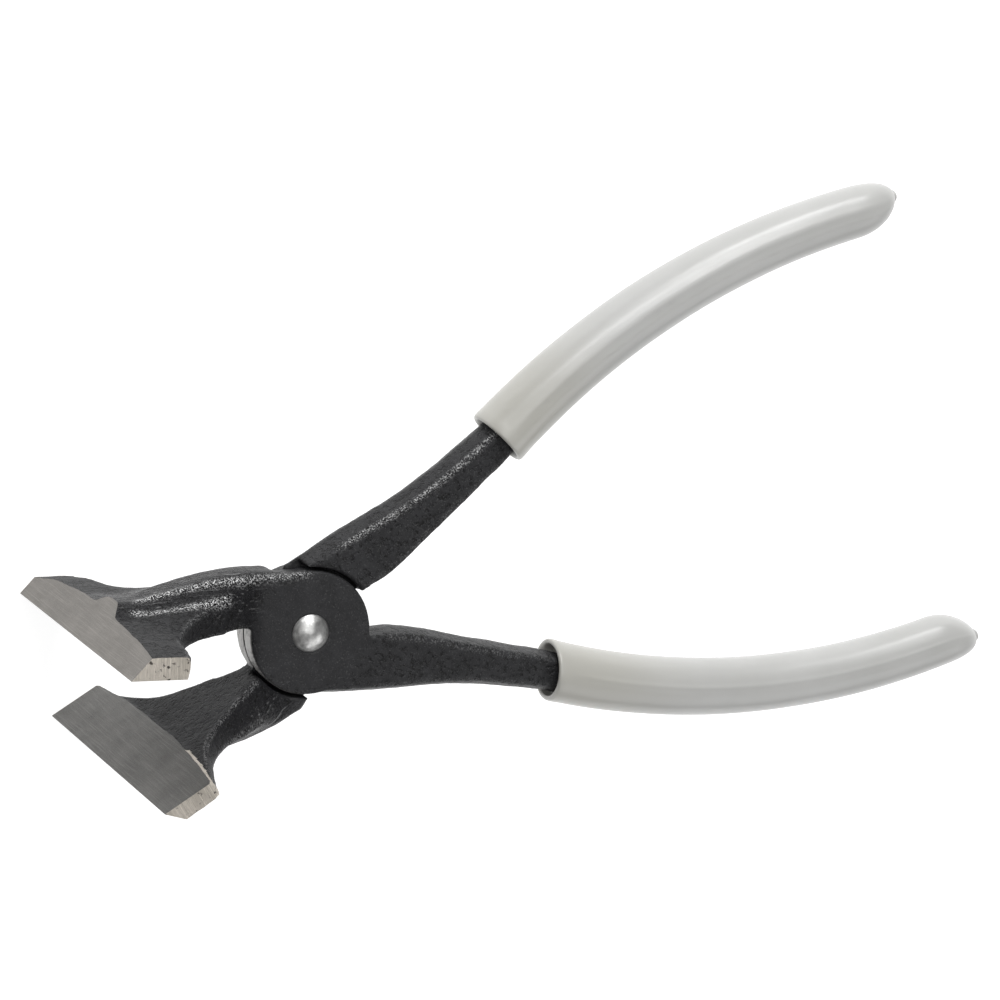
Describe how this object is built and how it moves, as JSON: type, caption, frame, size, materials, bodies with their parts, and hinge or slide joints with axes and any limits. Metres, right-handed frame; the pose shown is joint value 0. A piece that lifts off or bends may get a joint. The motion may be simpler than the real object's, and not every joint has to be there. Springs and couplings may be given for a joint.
{
  "type": "staple remover",
  "caption": "Plier-type carton staple remover: wide smooth jaws on crossed forged levers in a riveted lap joint, with sleeved handles.",
  "frame": {"origin": "middle of the open tool's footprint, level with the blades' lower ends", "axes": "+X from the jaws to the handles, +Z along the rivet towards the front lap, +Y from the rear jaw to the front jaw"},
  "size_m": [0.1972, 0.1111, 0.0786],
  "materials": {
    "forged_steel": "black semi-gloss coating over a rough forged skin, ground bare at the blade",
    "rivet_steel": "bright bare steel, lightly peened",
    "grip_vinyl": "glossy pale warm grey dipped vinyl"
  },
  "bodies": {
    "rear_half": {"rear_lever": "forged_steel", "rear_grip": "grip_vinyl", "pivot_rivet": "rivet_steel"},
    "front_half": {"front_lever": "forged_steel", "front_grip": "grip_vinyl"}
  },
  "joints": [
    {"name": "lap_hinge", "type": "hinge", "parent": "rear_half", "child": "front_half", "pos_m": [-0.05123, 0, 0.0393], "axis": [0, 0, 1], "range_deg": [-3, 33]}
  ]
}
